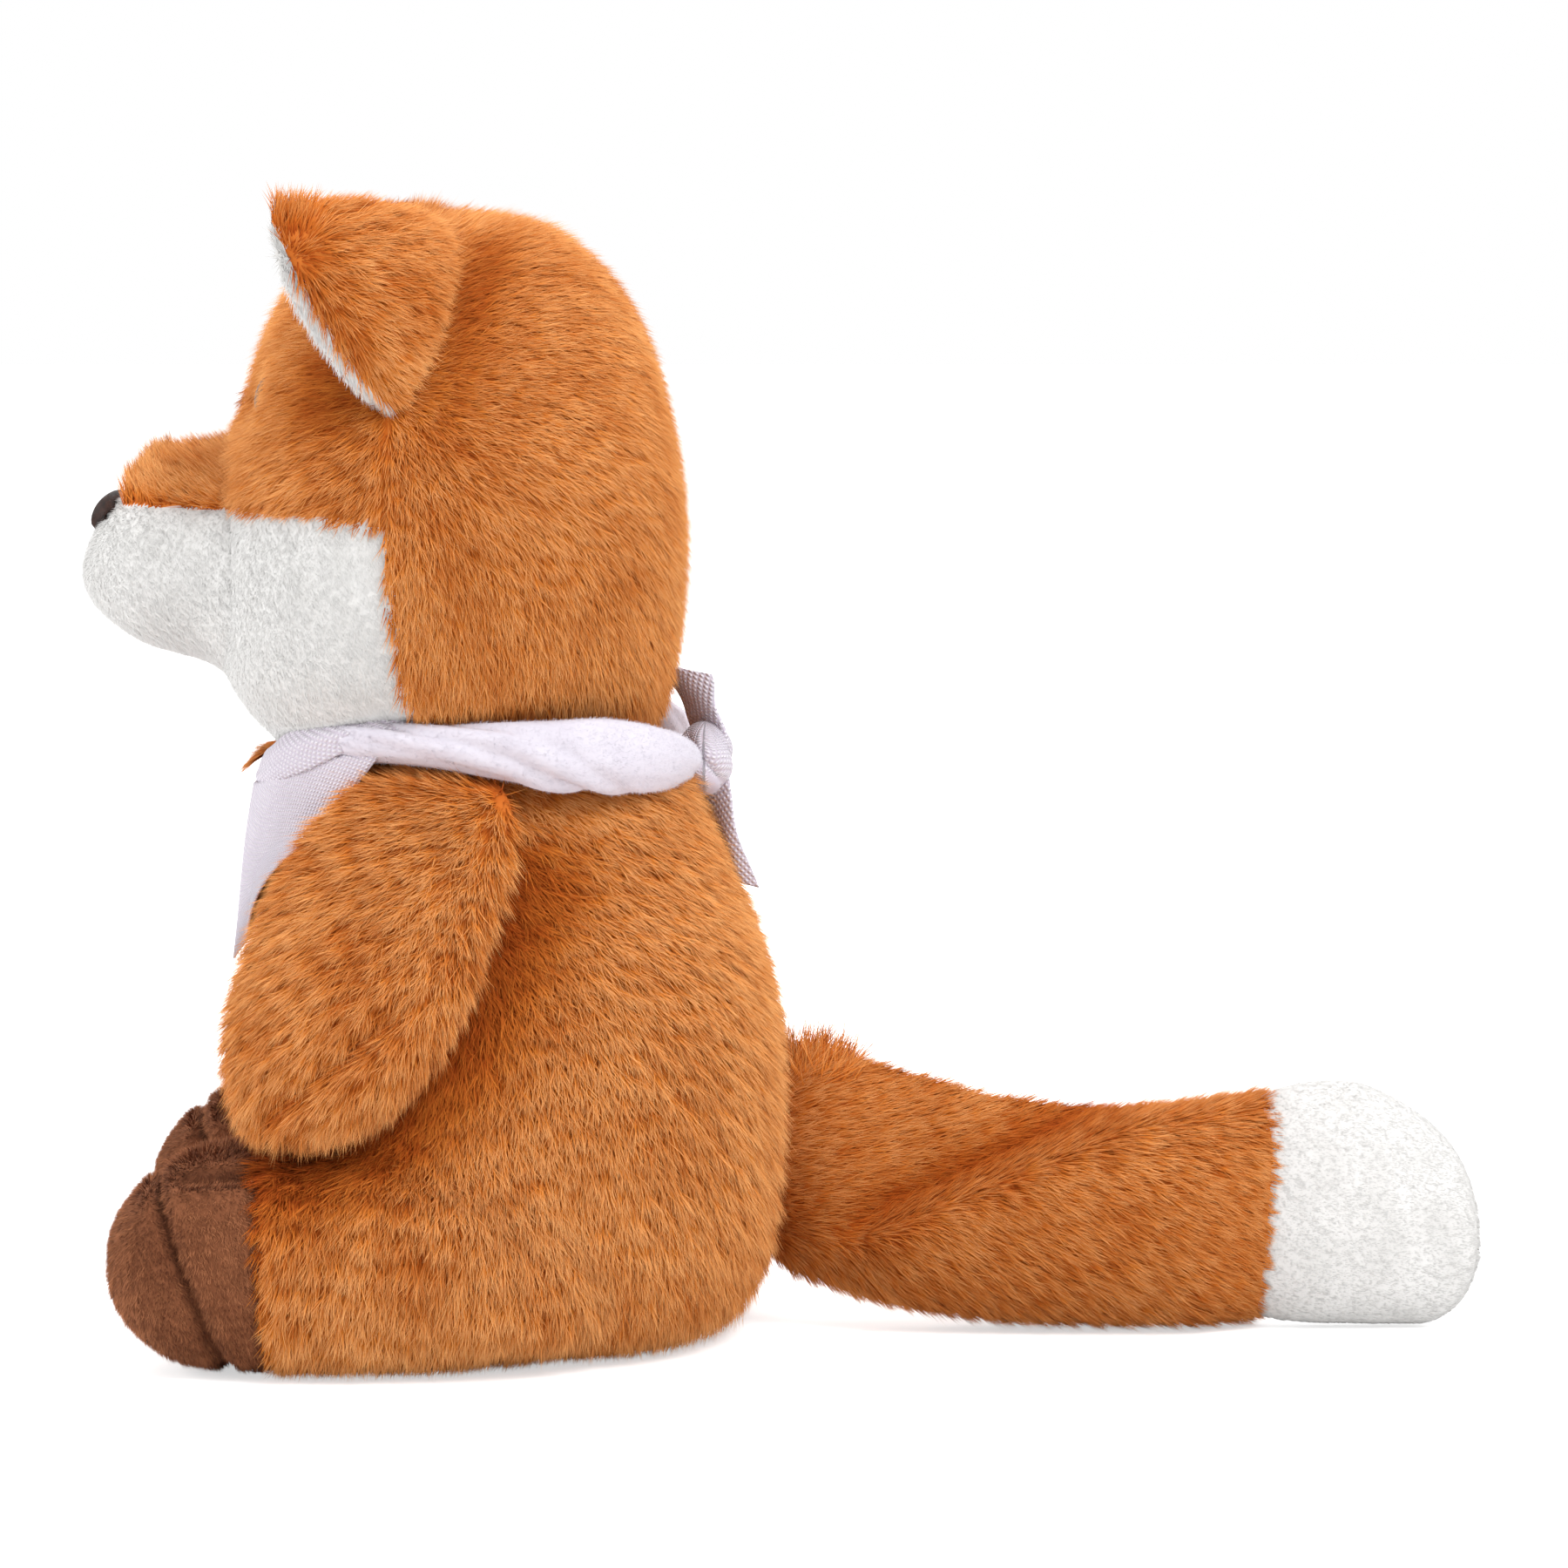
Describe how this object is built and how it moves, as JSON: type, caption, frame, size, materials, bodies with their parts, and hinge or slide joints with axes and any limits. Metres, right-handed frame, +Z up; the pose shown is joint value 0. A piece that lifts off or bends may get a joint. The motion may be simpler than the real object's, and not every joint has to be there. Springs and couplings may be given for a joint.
{
  "type": "plush fox",
  "caption": "Seated stuffed plush fox with long-pile orange fur, white muzzle and tail tip, brown feet and a plain white neck bandana; head, ears, arms, legs and tail move.",
  "frame": {"origin": "centre of the flat seat, on the surface that the fox sits on", "axes": "+Z up; -Y is the way the fox faces, so +Y runs back along the tail; +X is the fox's own left"},
  "size_m": [0.1154, 0.2353, 0.1904],
  "materials": {
    "orange_plush": "long-pile polyester plush, brushed",
    "white_plush": "short-pile polyester velour",
    "brown_plush": "short-pile polyester velour, mottled",
    "fibre_fill": "loose polyester fibre filling",
    "nose_thread": "satin-stitched polyester thread",
    "bandana_knit": "fine polyester knit, matt",
    "eye_plastic": "polished moulded plastic",
    "washer_plastic": "moulded polypropylene"
  },
  "bodies": {
    "torso": {"body_stuffing": "fibre_fill", "body_front": "orange_plush", "body_side_left": "orange_plush", "body_side_right": "orange_plush", "seat_panel": "orange_plush", "bandana_band": "bandana_knit", "bandana_knot": "bandana_knit", "bandana_end_upper": "bandana_knit", "bandana_end_lower": "bandana_knit"},
    "head": {"head_stuffing": "fibre_fill", "head_back_left": "orange_plush", "head_back_right": "orange_plush", "face_left": "orange_plush", "face_right": "orange_plush", "cheek_left": "white_plush", "cheek_right": "white_plush", "muzzle_stuffing": "fibre_fill", "muzzle_bridge": "orange_plush", "muzzle_left": "white_plush", "muzzle_right": "white_plush", "nose": "nose_thread", "left_eye": "eye_plastic", "right_eye": "eye_plastic", "left_eye_washer": "washer_plastic", "right_eye_washer": "washer_plastic"},
    "left_ear": {"left_ear_back": "orange_plush", "left_ear_lining": "white_plush"},
    "left_arm": {"left_arm_stuffing": "fibre_fill", "left_arm_outer": "orange_plush", "left_arm_inner": "orange_plush"},
    "left_leg": {"left_leg_stuffing": "fibre_fill", "left_thigh": "orange_plush", "left_foot_upper": "brown_plush", "left_foot_sole": "brown_plush"},
    "right_ear": {"right_ear_back": "orange_plush", "right_ear_lining": "white_plush"},
    "right_arm": {"right_arm_stuffing": "fibre_fill", "right_arm_outer": "orange_plush", "right_arm_inner": "orange_plush"},
    "right_leg": {"right_leg_stuffing": "fibre_fill", "right_thigh": "orange_plush", "right_foot_upper": "brown_plush", "right_foot_sole": "brown_plush"},
    "tail": {"tail_stuffing": "fibre_fill", "tail_left": "orange_plush", "tail_right": "orange_plush"},
    "tail_tip": {"tail_tip_stuffing": "fibre_fill", "tail_tip_left": "white_plush", "tail_tip_right": "white_plush"},
    "bandana_flap": {"bandana_flap": "bandana_knit"}
  },
  "joints": [
    {"name": "head_turn", "type": "hinge", "parent": "torso", "child": "head", "pos_m": [0, -0.0115, 0.1012], "axis": [0, 0, 1], "range_deg": [-20, 20], "stiffness_Nm_per_rad": 0.03},
    {"name": "left_ear_fold", "type": "hinge", "parent": "head", "child": "left_ear", "pos_m": [0.03545, -0.017, 0.16876], "axis": [-0.6304, 0, 0.7763], "range_deg": [-10, 20], "stiffness_Nm_per_rad": 0.02},
    {"name": "right_ear_fold", "type": "hinge", "parent": "head", "child": "right_ear", "pos_m": [-0.03545, -0.017, 0.16876], "axis": [-0.6304, 0, -0.7763], "range_deg": [-10, 20], "stiffness_Nm_per_rad": 0.02},
    {"name": "left_arm_raise", "type": "hinge", "parent": "torso", "child": "left_arm", "pos_m": [0.03545, 0, 0.0878], "axis": [0, -1, 0], "range_deg": [0, 60]},
    {"name": "right_arm_raise", "type": "hinge", "parent": "torso", "child": "right_arm", "pos_m": [-0.03545, 0, 0.0878], "axis": [0, 1, 0], "range_deg": [0, 60]},
    {"name": "left_leg_splay", "type": "hinge", "parent": "torso", "child": "left_leg", "pos_m": [0.055, -0.018, 0.019], "axis": [0, 0, 1], "range_deg": [0, 25]},
    {"name": "right_leg_splay", "type": "hinge", "parent": "torso", "child": "right_leg", "pos_m": [-0.055, -0.018, 0.019], "axis": [0, 0, -1], "range_deg": [0, 25]},
    {"name": "tail_sway", "type": "hinge", "parent": "torso", "child": "tail", "pos_m": [0, 0.0515, 0.023], "axis": [0, 0, 1], "range_deg": [-40, 40]},
    {"name": "tail_tip_lift", "type": "hinge", "parent": "tail", "child": "tail_tip", "pos_m": [0, 0.129, 0.04117], "axis": [1, 0, 0], "range_deg": [0, 40]},
    {"name": "flap_lift", "type": "hinge", "parent": "torso", "child": "bandana_flap", "pos_m": [0, -0.04354, 0.0887], "axis": [-1, 0, 0], "range_deg": [0, 60]}
  ]
}
